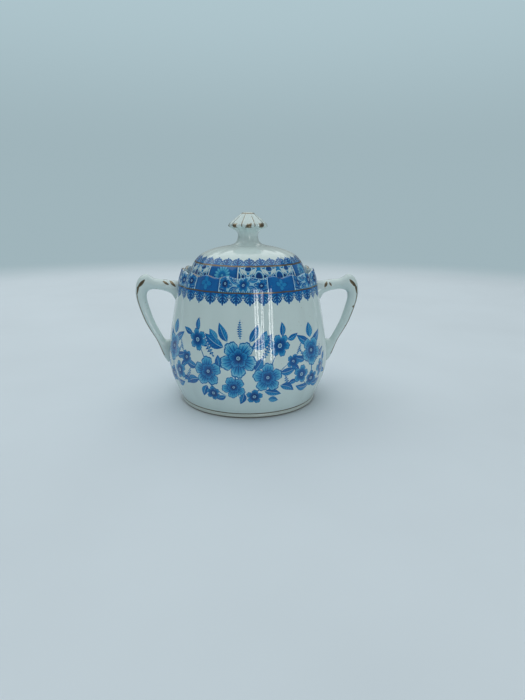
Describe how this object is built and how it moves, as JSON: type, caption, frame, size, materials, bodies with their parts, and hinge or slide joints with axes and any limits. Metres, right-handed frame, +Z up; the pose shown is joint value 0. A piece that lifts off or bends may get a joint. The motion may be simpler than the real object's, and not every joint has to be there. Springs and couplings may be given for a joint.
{
  "type": "sugar bowl",
  "caption": "Fluted porcelain sugar bowl with a scalloped rim, looped handles and a domed lid with a lobed knob, dropped into a ledge inside the rim.",
  "frame": {"origin": "on the bowl's axis, at the plane that the foot ring stands on", "axes": "+Z up along the axis of the bowl and lid, +X towards the right-hand handle and -Y towards the front"},
  "size_m": [0.1336, 0.097, 0.1106],
  "materials": {
    "porcelain": "clear gloss glaze over white porcelain, with cobalt blue printed decoration and worn gold lines",
    "gilded_porcelain": "clear gloss glaze over white porcelain, with worn gilding on the edge of the lobes"
  },
  "bodies": {
    "bowl_body": {"bowl": "porcelain", "handle_left": "porcelain", "handle_right": "porcelain"},
    "lid_body": {"lid": "porcelain", "lid_knob": "gilded_porcelain"}
  },
  "joints": [
    {"name": "lid_lift", "type": "slide", "parent": "bowl_body", "child": "lid_body", "axis": [0, 0, 1], "range_m": [0, 0.05]}
  ]
}
